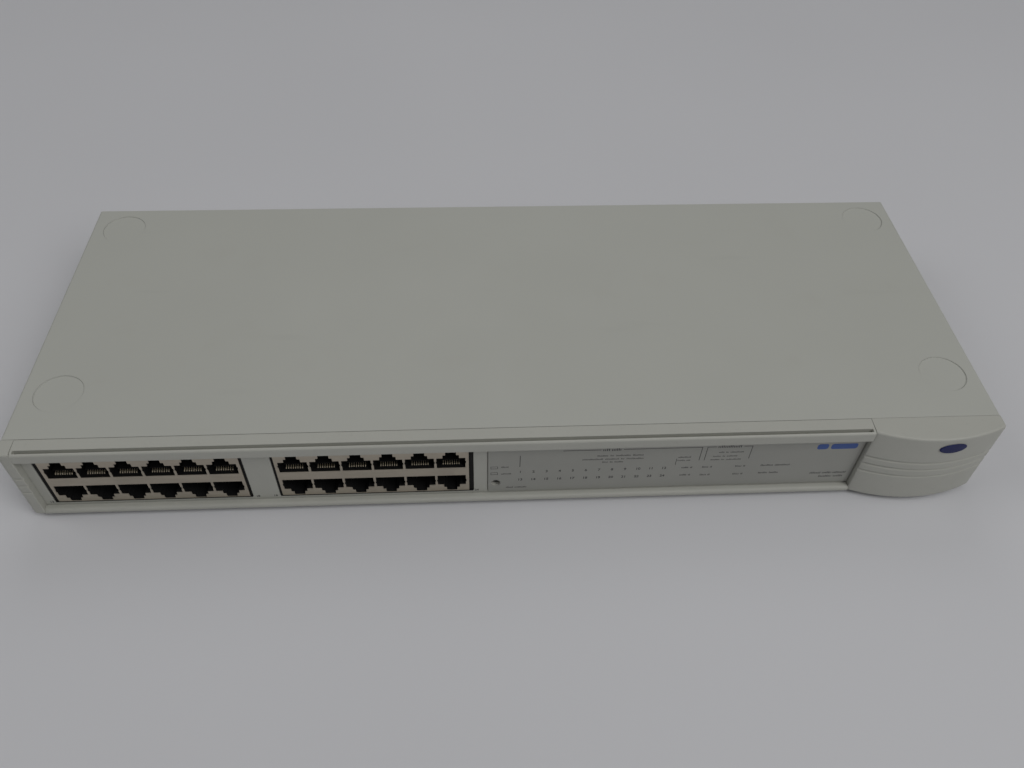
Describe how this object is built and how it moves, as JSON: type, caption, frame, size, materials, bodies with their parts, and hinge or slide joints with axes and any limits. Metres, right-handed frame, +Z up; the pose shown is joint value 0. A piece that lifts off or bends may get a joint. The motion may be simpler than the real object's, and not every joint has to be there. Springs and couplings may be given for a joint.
{
  "type": "rackmount network switch",
  "caption": "Low rack-width network switch: painted steel case, recessed plastic front with stacked modular jacks, printed display area and a bowed end cap.",
  "frame": {"origin": "middle of the footprint, on the surface the rubber feet stand on", "axes": "+X to the right seen from the front, +Y to the rear, +Z up; the jacks face -Y"},
  "size_m": [0.44, 0.1805, 0.0465],
  "materials": {
    "cover_paint": "warm light-grey baked paint, fine satin texture",
    "bezel_plastic": "warm grey moulded ABS, fine matt grain",
    "overlay_film": "darker grey printed polycarbonate film",
    "badge_blue": "dark blue gloss plate",
    "clear_acrylic": "clear acrylic light pipes",
    "button_plastic": "dark grey moulded button",
    "zinc_steel": "zinc-plated sheet steel",
    "jack_black": "black moulded jack housing",
    "jack_shield": "warm tin-plated shield, dulled",
    "contact_gold": "gold-plated spring contacts on a black carrier",
    "board_green": "green glass-epoxy board",
    "chip_epoxy": "black moulded epoxy",
    "aluminium_fin": "extruded aluminium, satin",
    "core_tape": "ferrite core wrapped in yellow tape",
    "capacitor_sleeve": "blue shrink sleeve",
    "wire_sleeve": "red insulated lead bundle",
    "inlet_black": "black thermoplastic inlet",
    "nickel": "nickel-plated steel and brass",
    "fan_plastic": "black glass-filled plastic",
    "foot_rubber": "black self-adhesive rubber"
  },
  "bodies": {
    "case": {"base_tray": "zinc_steel", "top_cover": "cover_paint", "front_bulkhead": "zinc_steel", "rear_panel": "cover_paint", "front_fascia": "bezel_plastic", "left_end_cap": "bezel_plastic", "right_end_cap": "bezel_plastic", "end_badge": "badge_blue", "display_overlay": "overlay_film", "light_guide": "clear_acrylic", "mode_switch_body": "chip_epoxy", "block_surround_left": "jack_black", "block_surround_right": "jack_black", "port_housing_left": "jack_black", "port_housing_right": "jack_black", "port_shield_left": "jack_shield", "port_shield_right": "jack_shield", "contact_insert_left_upper": "contact_gold", "contact_insert_left_lower": "contact_gold", "contact_insert_right_upper": "contact_gold", "contact_insert_right_lower": "contact_gold", "main_board": "board_green", "power_board": "board_green", "switch_chip": "chip_epoxy", "chip_heatsink": "aluminium_fin", "packet_memory": "chip_epoxy", "processor_chip": "chip_epoxy", "magnetics_left": "chip_epoxy", "magnetics_right": "chip_epoxy", "power_transformer": "core_tape", "bulk_capacitor": "capacitor_sleeve", "power_heatsink": "aluminium_fin", "dc_harness": "wire_sleeve", "mains_inlet": "inlet_black", "inlet_pin_line": "nickel", "inlet_pin_earth": "nickel", "inlet_pin_neutral": "nickel", "console_port": "nickel", "console_jackscrew_left": "nickel", "console_jackscrew_right": "nickel", "blanking_plate": "cover_paint", "thumbscrew_left": "nickel", "thumbscrew_right": "nickel", "fan_frame": "fan_plastic", "cover_screw_1": "zinc_steel", "rubber_foot_1": "foot_rubber", "cover_screw_2": "zinc_steel", "rubber_foot_2": "foot_rubber", "cover_screw_3": "zinc_steel", "rubber_foot_3": "foot_rubber", "cover_screw_4": "zinc_steel", "rubber_foot_4": "foot_rubber", "board_standoff_1": "zinc_steel", "board_standoff_2": "zinc_steel", "board_standoff_3": "zinc_steel", "board_standoff_4": "zinc_steel", "board_standoff_5": "zinc_steel", "board_standoff_6": "zinc_steel"},
    "button": {"mode_button": "button_plastic"},
    "rotor": {"fan_rotor": "fan_plastic"}
  },
  "joints": [
    {"name": "button_press", "type": "slide", "parent": "case", "child": "button", "axis": [0, 1, 0], "range_m": [0, 0.001], "stiffness_N_per_m": 400, "springref_m": -0.001},
    {"name": "fan_spin", "type": "hinge", "parent": "case", "child": "rotor", "pos_m": [0.2131, 0.02975, 0.0245], "axis": [1, 0, 0], "continuous": true}
  ]
}
